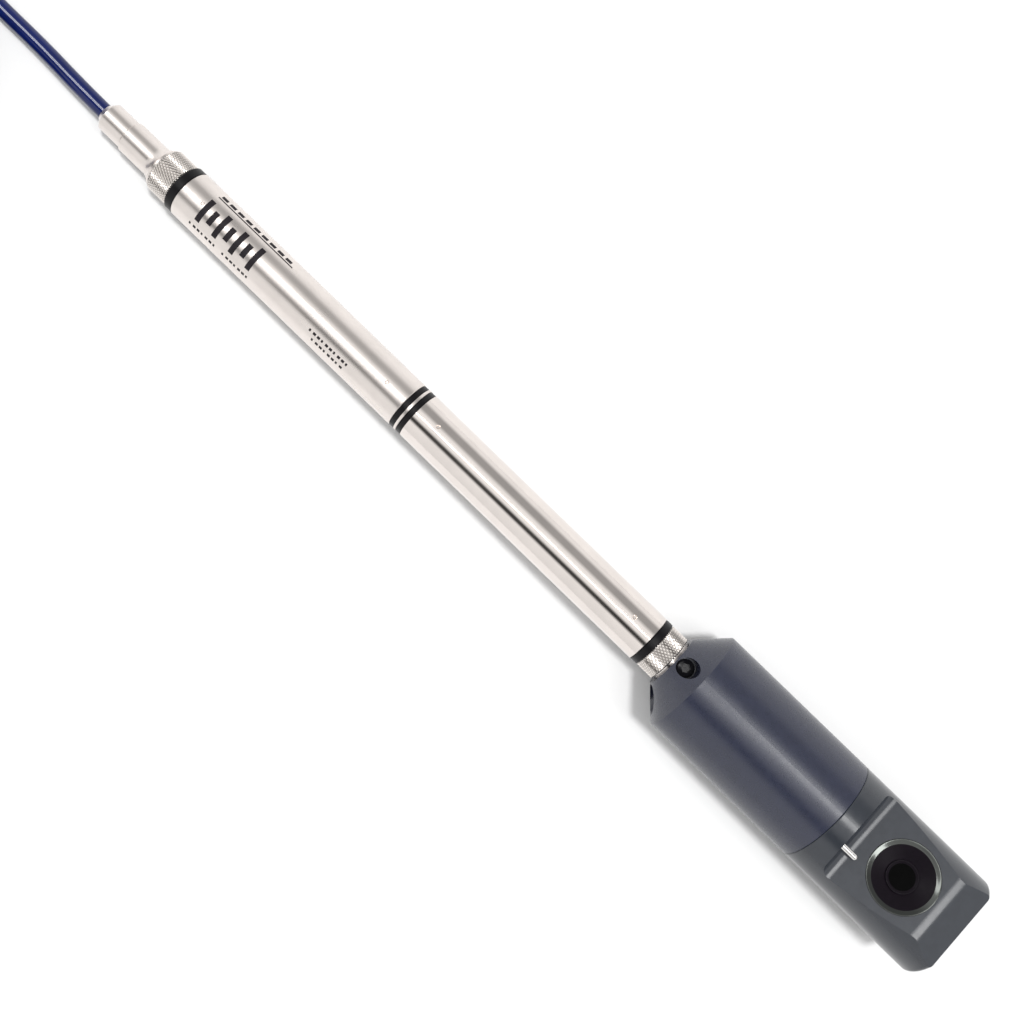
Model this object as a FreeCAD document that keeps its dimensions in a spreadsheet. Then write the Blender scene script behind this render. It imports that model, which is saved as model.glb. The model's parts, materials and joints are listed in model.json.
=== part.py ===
"""Submersible water quality probe with an angled optical window, its cable coiled and its field plug fitted.

The probe is drawn along +X, tail at -X and sensing tip at +X, and is then laid on the ground (Z = 0). It
rests on the rear knurled collar and on the rear edge of the wide head, so its tip stands a little higher
than its tail. Lengths are millimetres.
"""

import FreeCAD, Part
import math
import os
import re
import Sketcher

OUT_DIR = "parts"
Vector = FreeCAD.Vector

# ---------------------------------------------------------------- driving dimensions

SIZES = {
    # stations along the probe's axis, tail to tip
    "gland_rear": -208.3,
    "gland_front": -195.6,
    "flare_rear": -182.9,
    "collar_rear": -178.2,
    "rear_seal_start": -168.6,
    "upper_tube_rear": -165.0,
    "upper_tube_front": -54.2,
    "band_rear": -51.9,
    "band_front": -50.9,
    "lower_tube_rear": -48.7,
    "lower_tube_front": 66.0,
    "front_collar_rear": 69.1,
    "front_collar_front": 76.5,
    "head_rear": 77.3,
    "cone_front": 87.45,
    "nose_rear": 152.0,
    "nose_front": 210.4,
    # the steel housing
    "tube_radius": 9.525,
    "tube_wall": 1.15,
    "neck_radius": 7.0,
    "collar_radius": 8.95,
    "front_collar_radius": 9.35,
    "seal_radius": 9.4,
    "wire_bore": 3.4,
    "groove_radius": 7.1,
    "o_ring_radius": 7.7,
    "o_ring_section": 0.55,
    "seat_radius": 7.6,
    "slip": 0.05,
    "pin_radius": 0.55,
    "pin_from_end": 9.3,
    "dimple_radius": 0.95,
    "upper_pin_turn": 4.5,
    "lower_pin_turn": 12.5,
    # the gland and the cable
    "cable_radius": 3.1,
    "gland_radius": 5.75,
    "fitting_radius": 6.3,
    "gland_room": 4.75,
    "grommet_radius": 4.6,
    "cable_end": -193.0,
    # the black head
    "head_radius": 21.1,
    "head_rear_radius": 10.8,
    "head_bore": 8.05,
    "cavity_radius": 16.3,
    "spigot_radius": 18.0,
    "spigot_length": 5.0,
    "screw_station": 81.45,
    "counterbore_radius": 3.75,
    "counterbore_floor": 9.2,
    "head_roll": 8.5,
    # the nose's cut faces: distances along the axis and heights above it
    "shoulder_station": 162.1,
    "shoulder_height": 10.4,
    "shoulder_top_station": 158.6,
    "shoulder_top_height": 22.0,
    "ridge_station": 198.8,
    "ridge_height": 17.1,
    "tip_height": 13.1,
    "cove_radius": 4.5,
    "ridge_rounding": 9.0,
    "tip_rounding": 1.6,
    "window_station": 183.26,
    "window_radius": 11.0,
    "window_floor_radius": 5.7,
    "window_depth": 2.5,
    "foil_thickness": 0.4,
    "foil_ledge": 0.8,
    "throat_length": 10.5,
    "bezel_radius": 12.8,
    "bezel_depth": 0.6,
    "bezel_proud": 0.3,
    "finger_radius": 8.4,
    "finger_drop": 4.0,
    "lens_radius": 2.6,
    "thermistor_radius": 1.2,
    "thermistor_side": -6.7,
    "thermistor_height": 13.0,
    "thermistor_tip": 167.9,
    # the coil and the plug
    "coil_middle_radius": 38.1,
    "coil_columns": 5.0,
    "coil_layers": 4.0,
    "strap_thickness": 1.3,
    "tie_slack": 0.8,
    "coil_centre_along": -308.0,
    "coil_entry_side": 2.0,
    "plug_height": 10.4,
    "plug_shell_radius": 8.6,
    # brings the middle of the probe's own box to X = 0
    "centring": -1.38,
}

doc = FreeCAD.newDocument("water_quality_probe")
sheet = doc.addObject("Spreadsheet::Sheet", "dims")
sheet.set("A1", "dimension")
sheet.set("B1", "millimetres or degrees")
for row, (alias, number) in enumerate(SIZES.items(), start=2):
    sheet.set(f"A{row}", alias.replace("_", " "))
    sheet.set(f"B{row}", str(number))
    sheet.setAlias(f"B{row}", alias)
doc.recompute()

# the tilt that brings the rear collar and the head's rear edge down to the ground together
TILT = "atan((head_radius - collar_radius) / (cone_front - collar_rear))"
LIFT = f"head_radius * cos({TILT}) - cone_front * sin({TILT})"
PROBE = f"placement(vector(centring; 0; {LIFT}); rotation(vector(0; -1; 0); {TILT}))"
HEAD = PROBE + " * placement(vector(0; 0; 0); rotation(vector(-1; 0; 0); head_roll))"

# the nose's main cut face, which the window stands square to
FACE_ANGLE = "atan((ridge_height - shoulder_height) / (ridge_station - shoulder_station))"
WINDOW_HEIGHT = f"(shoulder_height + (window_station - shoulder_station) * tan({FACE_ANGLE}))"

# the coil: the outer turn's radius, its centre and the height of its first layer
CABLE_WIDE = "(2 * cable_radius)"
OUTER_TURN = f"(coil_middle_radius + (coil_columns - 1) / 2 * {CABLE_WIDE})"
COIL_SIDE = f"(coil_entry_side - {OUTER_TURN})"
COIL_BASE = "(strap_thickness + 0.1)"
FIRST_LAYER = f"({COIL_BASE} + cable_radius)"
TOP_LAYER = f"({FIRST_LAYER} + (coil_layers - 1) * {CABLE_WIDE})"
PLUG_ALONG = "(coil_centre_along - 66.5)"
PLUG_REAR = f"({COIL_SIDE} - 6)"
PLUG = (
    f"placement(vector({PLUG_ALONG}; {PLUG_REAR}; plug_height);"
    " rotation(vector(0; 0; 1); -90))"
)
TUBE_BORE = "(tube_radius - tube_wall)"
SPIGOT = "(tube_radius - tube_wall - slip)"


def bound(expression):
    """The expression with each of the sheet's names written as the sheet's own cell."""
    return re.sub(r"[a-z]\w*", lambda m: "dims." + m[0] if m[0] in SIZES else m[0], str(expression))


def number(expression):
    """What the expression comes to with the sheet's present values."""
    found = sheet.evalExpression(bound(expression))
    return float(getattr(found, "Value", found))


# ---------------------------------------------------------------- ways of making a piece


def arc_middle(start, end, radius):
    """The middle of the short arc from start to end; a positive radius bulges to the right of the way."""
    chord = end - start
    half = chord.Length / 2
    rise = abs(radius) - math.sqrt(radius * radius - half * half)
    right = Vector(chord.y, -chord.x, 0).normalize()
    return (start + end) / 2 + right * math.copysign(rise, radius)


def fix_coordinate(sketch, kind, spot, expression):
    """Ties one coordinate of a sketch point to the sheet."""
    if expression == "0":
        axis = -1 if kind == "DistanceY" else -2
        sketch.addConstraint(Sketcher.Constraint("PointOnObject", *spot, axis))
        return
    index = sketch.addConstraint(Sketcher.Constraint(kind, -1, 1, *spot, number(expression)))
    sketch.setExpression(f"Constraints[{index}]", bound(expression))


def draw_outline(body, plane_role, points):
    """A closed sketch through points, each (across, up) or (across, up, radius of the arc to the next)."""
    sketch = body.newObject("Sketcher::SketchObject", body.Name + "_outline")
    plane = next(f for f in body.Origin.OriginFeatures if f.Role == plane_role)
    sketch.AttachmentSupport = (plane, [""])
    sketch.MapMode = "FlatFace"
    places = [Vector(number(p[0]), number(p[1]), 0) for p in points]
    ends = []
    for k, point in enumerate(points):
        start, end = places[k], places[(k + 1) % len(points)]
        if len(point) == 3:
            radius = number(point[2])
            curve = sketch.addGeometry(Part.Arc(start, arc_middle(start, end, radius), end), False)
            size = abs(radius)
            index = sketch.addConstraint(Sketcher.Constraint("Radius", curve, size))
            sketch.setExpression(f"Constraints[{index}]", bound(f"abs({point[2]})"))
        else:
            curve = sketch.addGeometry(Part.LineSegment(start, end), False)
        first = 1 if sketch.getPoint(curve, 1).distanceToPoint(start) < 1e-6 else 2
        ends.append((curve, first, 3 - first))
    for k, (curve, first, last) in enumerate(ends):
        following = ends[(k + 1) % len(ends)]
        sketch.addConstraint(Sketcher.Constraint("Coincident", curve, last, following[0], following[1]))
        fix_coordinate(sketch, "DistanceX", (curve, first), str(points[k][0]))
        fix_coordinate(sketch, "DistanceY", (curve, first), str(points[k][1]))
    return sketch


def turned(name, points):
    """A lathe-turned piece about X, from half its section as (along, radius) points."""
    body = doc.addObject("PartDesign::Body", name)
    sketch = draw_outline(body, "XZ_Plane", points)
    turn = body.newObject("PartDesign::Revolution", name + "_turn")
    turn.Profile = sketch
    turn.ReferenceAxis = (sketch, ["H_Axis"])
    turn.Angle = 360.0
    return body


def padded(name, plane_role, points, thickness):
    """A plate of even thickness, half each side of an origin plane."""
    body = doc.addObject("PartDesign::Body", name)
    pad = body.newObject("PartDesign::Pad", name + "_pad")
    pad.Profile = draw_outline(body, plane_role, points)
    pad.SideType = "Symmetric"
    pad.setExpression("Length", bound(thickness))
    return body


def primitive(kind, name, sizes, where=None):
    """A Part primitive whose sizes, and place if given, are expressions on the sheet."""
    item = doc.addObject("Part::" + kind, name)
    for size, expression in sizes.items():
        item.setExpression(size, bound(expression))
    if where:
        item.setExpression("Placement", bound(where))
    return item


def spot(along, side, height, axis="0; 0; 1", angle="0"):
    return f"placement(vector({along}; {side}; {height}); rotation(vector({axis}); {angle}))"


def rod(name, radius, start, length, side="0", height="0"):
    """A round rod along X that starts at a station."""
    where = spot(start, side, height, "0; 1; 0", "90")
    return primitive("Cylinder", name, {"Radius": radius, "Height": length}, where)


def block(name, along, side, height, length, width, thick):
    """A box from its low corner and its three sizes."""
    sizes = {"Length": length, "Width": width, "Height": thick}
    return primitive("Box", name, sizes, spot(along, side, height))


def ring(name, station, radius, section):
    """An O-ring about X."""
    sizes = {"Radius1": radius, "Radius2": section}
    return primitive("Torus", name, sizes, spot(station, "0", "0", "0; 1; 0", "90"))


def group(name, items):
    """Like pieces as one node of separate solids."""
    together = doc.addObject("Part::Compound", name)
    together.Links = items
    return together


def joined(name, items):
    whole = doc.addObject("Part::MultiFuse", name)
    whole.Shapes = items
    return whole


def cut(name, base, tools):
    """The base with the tools taken out of it."""
    if len(tools) == 1:
        tool = tools[0]
    else:
        tool = group(name + "_tools", tools)
    result = doc.addObject("Part::Cut", name)
    result.Base = base
    result.Tool = tool
    return result


def sleeve(start, end, inner, outer, bevel="0.3"):
    """The half section of a plain ring with a small bevel on its outer edges."""
    return [
        (start, inner),
        (start, f"{outer} - {bevel}"),
        (f"{start} + {bevel}", outer),
        (f"{end} - {bevel}", outer),
        (end, f"{outer} - {bevel}"),
        (end, inner),
    ]


nodes = {}


def keep(item, where=None):
    """Makes the item a sub-part, with its own label, and takes it to its place in the laid-down probe."""
    if where:
        drawn_at = dict(item.ExpressionEngine).get("Placement")
        item.setExpression("Placement", bound(where) + (f" * {drawn_at}" if drawn_at else ""))
    item.Label = item.Name
    nodes[item.Name] = item


# ---------------------------------------------------------------- cable end of the probe


def add_gland():
    """The nut, rubber grommet and body that hold the cable."""
    keep(turned("cable_nut", [
        ("gland_rear", "cable_radius + 0.15"),
        ("gland_rear", "cable_radius + 0.55"),
        ("gland_rear + 2.2", "gland_radius"),
        ("gland_front - 0.25", "gland_radius"),
        ("gland_front", "gland_radius - 0.25"),
        ("gland_front", "gland_room"),
        ("gland_front - 6.6", "gland_room"),
        ("gland_front - 6.6", "cable_radius + 0.15"),
    ]), PROBE)
    keep(turned("cable_grommet", [
        ("gland_front - 6.5", "cable_radius + 0.03"),
        ("gland_front - 6.5", "grommet_radius"),
        ("gland_front - 4.2", "grommet_radius"),
        ("gland_front - 4.2", "cable_radius + 0.03"),
    ]), PROBE)
    keep(turned("cable_fitting", [
        ("gland_front - 4.1", "cable_radius + 0.1"),
        ("gland_front - 4.1", "gland_room - slip"),
        ("gland_front", "gland_room - slip"),
        ("gland_front", "fitting_radius - 0.25"),
        ("gland_front + 0.25", "fitting_radius"),
        ("flare_rear", "fitting_radius", "6.5"),
        ("collar_rear - 0.8", "8.15"),
        ("collar_rear - 0.15", "8.15"),
        ("collar_rear - 0.15", "neck_radius"),
        ("upper_tube_rear", "neck_radius"),
        ("upper_tube_rear", SPIGOT),
        ("upper_tube_rear + 3", SPIGOT),
        ("upper_tube_rear + 3", "groove_radius"),
        ("upper_tube_rear + 5", "groove_radius"),
        ("upper_tube_rear + 5", SPIGOT),
        ("upper_tube_rear + 17", SPIGOT),
        ("upper_tube_rear + 17", "grommet_radius"),
        ("cable_end + 3", "grommet_radius"),
        ("cable_end", "cable_radius + 0.1"),
    ]), PROBE)
    keep(ring("fitting_o_ring", "upper_tube_rear + 4", "o_ring_radius", "o_ring_section"), PROBE)


def add_collars_and_seals():
    """The two knurled union nuts, which turn on the steel necks, and the black rings beside them."""
    bore = "neck_radius + slip"
    keep(turned("rear_collar", [
        ("collar_rear", bore),
        ("collar_rear", "collar_radius"),
        ("rear_seal_start - 0.55", "collar_radius"),
        ("rear_seal_start - 0.15", "collar_radius - 0.4"),
        ("rear_seal_start - 0.15", bore),
    ]), PROBE)
    keep(turned("rear_seal_ring", sleeve("rear_seal_start", "upper_tube_rear", bore, "seal_radius")), PROBE)
    keep(turned("front_seal_ring", sleeve("lower_tube_front", "front_collar_rear", bore, "seal_radius")),
         PROBE)
    keep(turned("front_collar", sleeve(
        "front_collar_rear + 0.1", "front_collar_front", bore, "front_collar_radius", "0.4")), PROBE)


def add_tubes():
    """The two steel tubes, the joiner between them and the dowels that lock them to their spigots."""
    tubes = {
        "upper": ("upper_tube_rear", "upper_tube_front", "upper_pin_turn"),
        "lower": ("lower_tube_rear", "lower_tube_front", "lower_pin_turn"),
    }
    dowels = []
    for name, (rear, front, turn) in tubes.items():
        around = spot("0", "0", "0", "-1; 0; 0", turn) + " * "
        pipe = turned(name + "_tube_pipe", sleeve(rear, front, TUBE_BORE, "tube_radius", "0.2"))
        holes = []
        for end, station in (("rear", f"{rear} + pin_from_end"), ("front", f"{front} - pin_from_end")):
            sizes = {"Radius": "pin_radius", "Height": "6"}
            holes.append(primitive("Cylinder", f"{name}_{end}_hole", sizes, around + spot(station, "0", "6")))
            sizes = {"Radius1": "pin_radius", "Radius2": "dimple_radius", "Height": "0.5"}
            holes.append(primitive("Cone", f"{name}_{end}_dimple", sizes,
                                   around + spot(station, "0", "tube_radius - 0.35")))
            sizes = {"Radius": "pin_radius", "Height": "tube_wall - 0.25"}
            dowels.append(primitive("Cylinder", f"{name}_{end}_dowel", sizes,
                                    around + spot(station, "0", f"{TUBE_BORE} + 0.03")))
        keep(cut(name + "_tube", pipe, holes), PROBE)
    keep(group("tube_dowels", dowels), PROBE)

    keep(turned("tube_joiner", [
        ("upper_tube_front - 14", "wire_bore"),
        ("upper_tube_front - 14", SPIGOT),
        ("upper_tube_front - 5", SPIGOT),
        ("upper_tube_front - 5", "groove_radius"),
        ("upper_tube_front - 3", "groove_radius"),
        ("upper_tube_front - 3", SPIGOT),
        ("upper_tube_front", SPIGOT),
        ("upper_tube_front", "seat_radius"),
        ("band_rear", "seat_radius"),
        ("band_rear", "tube_radius"),
        ("band_front", "tube_radius"),
        ("band_front", "seat_radius"),
        ("lower_tube_rear", "seat_radius"),
        ("lower_tube_rear", SPIGOT),
        ("lower_tube_rear + 3", SPIGOT),
        ("lower_tube_rear + 3", "groove_radius"),
        ("lower_tube_rear + 5", "groove_radius"),
        ("lower_tube_rear + 5", SPIGOT),
        ("lower_tube_rear + 14", SPIGOT),
        ("lower_tube_rear + 14", "wire_bore"),
    ]), PROBE)
    seals = {"rear": ("upper_tube_front", "band_rear"), "front": ("band_front", "lower_tube_rear")}
    for name, (start, end) in seals.items():
        outline = sleeve(start, end, "seat_radius + slip", "seal_radius", "0.2")
        keep(turned(f"joiner_seal_{name}", outline), PROBE)
    keep(group("joiner_o_rings", [
        ring("joiner_o_ring_1", "upper_tube_front - 4", "o_ring_radius", "o_ring_section"),
        ring("joiner_o_ring_2", "lower_tube_rear + 4", "o_ring_radius", "o_ring_section"),
    ]), PROBE)


# ---------------------------------------------------------------- electronics inside the tubes


def add_wires(name, start, end, count, ring_radius):
    """A bundle of insulated wires running along the axis."""
    wires = []
    for k in range(count):
        turn = f"{k} * 360 / {count}"
        wires.append(rod(f"{name}_{k + 1}", "0.6", start, f"{end} - ({start})",
                         f"{ring_radius} * cos({turn})", f"{ring_radius} * sin({turn})"))
    keep(group(name, wires), PROBE)


def add_board(name, start, end, width, chips):
    """A circuit board on the axis, and its components as a node of their own: (station, side, length, width,
    height, 1 above or -1 below)."""
    keep(block(name, start, f"-{width} / 2", "-0.8", f"{end} - ({start})", width, "1.6"), PROBE)
    parts = []
    for k, (station, side, length, wide, height, above) in enumerate(chips, start=1):
        low = "0.82" if above > 0 else f"-0.82 - {height}"
        parts.append(block(f"{name}_chip_{k}", f"{start} + {station}", f"{side} - {wide} / 2", low,
                           f"{length}", f"{wide}", f"{height}"))
    keep(group(name + "_components", parts), PROBE)


def add_electronics():
    add_wires("cable_wires", "cable_end + 0.2", "upper_tube_rear + 19", 5, "2.0")
    add_board("comms_board", "upper_tube_rear + 19", "upper_tube_front - 16", "14.4", [
        (3, 0, 6, 9, 3.0, 1), (14, 0, 10, 10, 1.4, 1), (29, 2, 7, 7, 1.2, 1), (29, -4, 4, 3, 1.6, 1),
        (41, 0, 9, 8, 3.6, 1), (55, 1, 5, 6, 2.0, 1), (67, 0, 6, 9, 3.0, 1), (20, 0, 12, 8, 1.4, -1),
        (45, 0, 10, 7, 2.2, -1),
    ])
    add_wires("link_wires", "upper_tube_front - 15.9", "lower_tube_rear + 15.9", 4, "1.5")
    add_board("sensor_board", "lower_tube_rear + 16", "lower_tube_front - 18", "14.4", [
        (3, 0, 6, 9, 3.0, 1), (13, -1, 8, 8, 1.6, 1), (25, 0, 12, 12, 1.4, 1), (41, 2, 5, 5, 1.2, 1),
        (41, -4, 5, 3, 1.8, 1), (52, 0, 8, 8, 3.2, 1), (70, 0, 6, 9, 3.0, 1), (18, 0, 10, 9, 1.2, -1),
        (50, 1, 12, 7, 2.4, -1),
    ])
    add_wires("head_wires", "lower_tube_front - 17.9", "99.9", 4, "1.5")


# ---------------------------------------------------------------- the head


def add_adapter():
    """The steel stem that plugs into the lower tube, carries the front collar and holds the head."""
    stem = turned("adapter_stem", [
        ("lower_tube_front - 16", "wire_bore"),
        ("lower_tube_front - 16", SPIGOT),
        ("lower_tube_front - 6", SPIGOT),
        ("lower_tube_front - 6", "groove_radius"),
        ("lower_tube_front - 4", "groove_radius"),
        ("lower_tube_front - 4", SPIGOT),
        ("lower_tube_front", SPIGOT),
        ("lower_tube_front", "neck_radius"),
        ("front_collar_front + 0.1", "neck_radius"),
        ("front_collar_front + 0.1", "head_bore - slip"),
        ("head_rear + 19", "head_bore - slip"),
        ("head_rear + 19", "wire_bore"),
    ])
    holes = []
    for k in range(4):
        where = spot("screw_station", "0", "0", "1; 0; 0", f"{k} * 90") + " * " + spot("0", "0", "4.6")
        holes.append(primitive("Cylinder", f"adapter_hole_{k + 1}", {"Radius": "1.6", "Height": "6"}, where))
    keep(cut("head_adapter", stem, holes), HEAD)
    keep(ring("adapter_o_ring", "lower_tube_front - 5", "o_ring_radius", "o_ring_section"), PROBE)


def add_head_barrel():
    """The wide dark body: a 45 degree cone, a plain barrel and the spigot that the nose slides over."""
    shell = turned("head_shell", [
        ("head_rear", "head_bore"),
        ("head_rear", "head_rear_radius"),
        ("cone_front", "head_radius"),
        ("nose_rear - 0.25", "head_radius"),
        ("nose_rear", "head_radius - 0.25"),
        ("nose_rear", "spigot_radius"),
        ("nose_rear + 1.6", "spigot_radius"),
        ("nose_rear + 1.6", "spigot_radius - 1.3"),
        ("nose_rear + 3.6", "spigot_radius - 1.3"),
        ("nose_rear + 3.6", "spigot_radius"),
        ("nose_rear + spigot_length", "spigot_radius"),
        ("nose_rear + spigot_length", "cavity_radius"),
        ("head_rear + 22", "cavity_radius"),
        ("head_rear + 22", "head_bore"),
    ])
    holes, screws = [], []
    for k in range(4):
        around = spot("screw_station", "0", "0", "1; 0; 0", f"{k} * 90")
        sizes = {"Radius": "counterbore_radius", "Height": "14"}
        holes.append(primitive("Cylinder", f"counterbore_{k + 1}", sizes,
                               around + " * " + spot("0", "0", "counterbore_floor")))
        holes.append(primitive("Cylinder", f"clearance_{k + 1}", {"Radius": "1.75", "Height": "6"},
                               around + " * " + spot("0", "0", "6")))
        shank = primitive("Cylinder", f"shank_{k + 1}", {"Radius": "1.55", "Height": "5.5"},
                          spot("0", "0", "4.7"))
        top = primitive("Cylinder", f"screw_head_{k + 1}", {"Radius": "3.1", "Height": "2.4"},
                        spot("0", "0", "counterbore_floor + 0.02"))
        socket = primitive("Prism", f"hex_{k + 1}", {"Circumradius": "1.5", "Height": "2"},
                           spot("0", "0", "counterbore_floor + 1.0"))
        screw = cut(f"screw_{k + 1}", joined(f"screw_blank_{k + 1}", [shank, top]), [socket])
        screw.setExpression("Placement", bound(around))
        screws.append(screw)
    keep(cut("head_barrel", shell, holes), HEAD)
    keep(group("head_screws", screws), HEAD)
    keep(ring("nose_o_ring", "nose_rear + 2.6", "spigot_radius - 0.65", "0.62"), HEAD)


def add_optics():
    """The lens finger, its lens, its board and the temperature pin, which stay on the head."""
    flange = rod("optics_flange", "cavity_radius - 0.1", "nose_rear - 11.5", "8.5")
    finger = rod("optics_finger", "finger_radius", "nose_rear - 4", "42.5", "0", "-finger_drop")
    pin_hole = rod("flange_hole", "thermistor_radius + 0.05", "nose_rear - 12", "10",
                   "thermistor_side", "thermistor_height")
    lens_seat = primitive("Cylinder", "lens_seat", {"Radius": "lens_radius + 0.05", "Height": "2"},
                          spot("window_station + 1.4", "0", "finger_radius - finger_drop - 1.2"))
    keep(cut("optics_block", joined("optics_blank", [flange, finger]), [pin_hole, lens_seat]), HEAD)
    keep(primitive("Cylinder", "optics_lens", {"Radius": "lens_radius", "Height": "1.1"},
                   spot("window_station + 1.4", "0", "finger_radius - finger_drop - 1.18")), HEAD)
    keep(block("optics_board", "head_rear + 23", "-12", "-0.8", "38", "24", "1.6"), HEAD)
    stem = rod("thermistor_stem", "thermistor_radius", "nose_rear - 14",
               "thermistor_tip - thermistor_radius - nose_rear + 14", "thermistor_side", "thermistor_height")
    tip = primitive("Sphere", "thermistor_end", {"Radius": "thermistor_radius"},
                    spot("thermistor_tip - thermistor_radius", "thermistor_side", "thermistor_height"))
    keep(joined("thermistor_pin", [stem, tip]), HEAD)


def fillet_across(body, name, station, height, radius):
    """Rounds the edge that runs across the body through (station, height)."""
    doc.recompute()
    place = Vector(number(station), 0, number(height))
    edges = body.Shape.Edges
    found = [f"Edge{k}" for k, e in enumerate(edges, start=1)
             if e.distToShape(Part.Vertex(place))[0] < 1e-4 and abs(e.tangentAt(e.FirstParameter).y) > 0.99]
    fillet = body.newObject("PartDesign::Fillet", name)
    fillet.Base = (body.Tip if body.Tip != fillet else fillet.BaseFeature, found)
    fillet.setExpression("Radius", bound(radius))


def add_nose():
    """The pull-off nose: cut away on top to an angled face with the round window, in a bezel."""
    nose = turned("nose_blank", [
        ("nose_rear + 0.05", "spigot_radius + slip"),
        ("nose_rear + 0.05", "head_radius - 0.25"),
        ("nose_rear + 0.3", "head_radius"),
        ("nose_front - tip_rounding", "head_radius", "-tip_rounding * 1.0001"),
        ("nose_front", "head_radius - tip_rounding"),
        ("nose_front", "0"),
        ("nose_rear + spigot_length + 0.2", "0"),
        ("nose_rear + spigot_length + 0.2", "spigot_radius + slip"),
    ])
    top = padded("nose_relief", "XZ_Plane", [
        ("shoulder_station", "shoulder_height"),
        ("ridge_station", "ridge_height"),
        ("nose_front + 2", "tip_height - (ridge_height - tip_height) / (nose_front - ridge_station) * 2"),
        ("nose_front + 2", "shoulder_top_height"),
        ("shoulder_top_station", "shoulder_top_height"),
    ], "3 * head_radius")
    fillet_across(top, "cove", "shoulder_station", "shoulder_height", "cove_radius")
    fillet_across(top, "ridge", "ridge_station", "ridge_height", "ridge_rounding")

    square = spot("window_station", "0", WINDOW_HEIGHT, "0; -1; 0", FACE_ANGLE)
    funnel = primitive("Cone", "window_funnel", {
        "Radius1": "window_floor_radius", "Radius2": "window_radius", "Height": "window_depth - bezel_depth",
    }, square + " * " + spot("0", "0", "-window_depth"))
    seat = primitive("Cylinder", "bezel_seat", {"Radius": "bezel_radius + 0.06", "Height": "bezel_depth + 3"},
                     square + " * " + spot("0", "0", "-bezel_depth"))
    foil_seat = primitive("Cylinder", "foil_seat", {
        "Radius": "window_floor_radius", "Height": "foil_thickness + 0.1",
    }, square + " * " + spot("0", "0", "-window_depth - foil_thickness"))
    throat = primitive("Cylinder", "window_throat", {
        "Radius": "window_floor_radius - foil_ledge", "Height": "throat_length",
    }, square + " * " + spot("0", "0", "0.1 - window_depth - throat_length"))
    finger_room = rod("finger_room", "finger_radius + 0.5", "nose_rear + spigot_length", "37",
                      "0", "-finger_drop")
    pin_room = rod("pin_room", "thermistor_radius + 0.08", "nose_rear", "thermistor_tip + 0.4 - nose_rear",
                   "thermistor_side", "thermistor_height")
    keep(cut("nose_cap", nose, [top, funnel, seat, foil_seat, throat, finger_room, pin_room]), HEAD)

    face = HEAD + " * " + square + " * "
    upright = spot("0", "0", "0", "0; -1; 0", "90")
    keep(turned("window_bezel", [
        ("-bezel_depth", "window_radius"),
        ("-bezel_depth", "bezel_radius"),
        ("bezel_proud - 0.25", "bezel_radius"),
        ("bezel_proud", "bezel_radius - 0.35"),
        ("bezel_proud", "bezel_radius - 0.45"),
        ("0.1 - bezel_depth", "window_radius"),
    ]), face + upright)
    keep(turned("optical_foil", [
        ("-window_depth - foil_thickness", "0"),
        ("-window_depth - foil_thickness", "window_floor_radius - 0.05"),
        ("-window_depth", "window_floor_radius - 0.05"),
        ("-window_depth", "0"),
    ]), face + upright)
    keep(turned("foil_ring", [
        ("-window_depth + 0.02", "window_floor_radius - 1.1"),
        ("-window_depth + 0.02", "window_floor_radius - 0.05"),
        ("-window_depth + 0.5", "window_floor_radius - 0.05"),
        ("-window_depth + 0.5", "window_floor_radius - 0.3"),
    ]), face + upright)


# ---------------------------------------------------------------- cable, coil and plug


def on_axis(station):
    """The point of the laid-down probe's axis at a station."""
    return Vector(
        number(f"centring + {station} * cos({TILT})"), 0, number(f"{LIFT} + ({station}) * sin({TILT})")
    )


def rounded_path(points):
    """Straight runs joined by tangent arcs, each as large as its two runs allow, and the arcs' radii."""
    edges, radii, start = [], [], points[0]
    for before, corner, after in zip(points, points[1:], points[2:]):
        back, ahead = (before - corner), (after - corner)
        reach = 0.45 * min(back.Length, ahead.Length)
        turn = math.pi - back.getAngle(ahead)
        radii.append(reach / math.tan(turn / 2))
        enter, leave = corner + back.normalize() * reach, corner + ahead.normalize() * reach
        inward = (back + ahead).normalize()
        middle = corner + inward * (radii[-1] / math.cos(turn / 2) - radii[-1])
        edges += [Part.LineSegment(start, enter).toShape(), Part.Arc(enter, middle, leave).toShape()]
        start = leave
    edges.append(Part.LineSegment(start, points[-1]).toShape())
    return Part.Wire(edges), radii


def add_cord(name, points):
    """A round cable along a route."""
    path, radii = rounded_path(points)
    radius = number("cable_radius")
    circle = Part.Wire(Part.Circle(points[0], points[1] - points[0], radius).toShape())
    tube = path.makePipeShell([circle], True, False)
    expected = math.pi * radius * radius * path.Length
    print(f"{name}: length {path.Length:.1f}, volume over section times length {tube.Volume / expected:.5f},"
          f" radii {', '.join(f'{r:.0f}' for r in radii)}")
    item = doc.addObject("Part::Feature", name)
    item.Shape = tube
    keep(item)
    return path.Length


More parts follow.
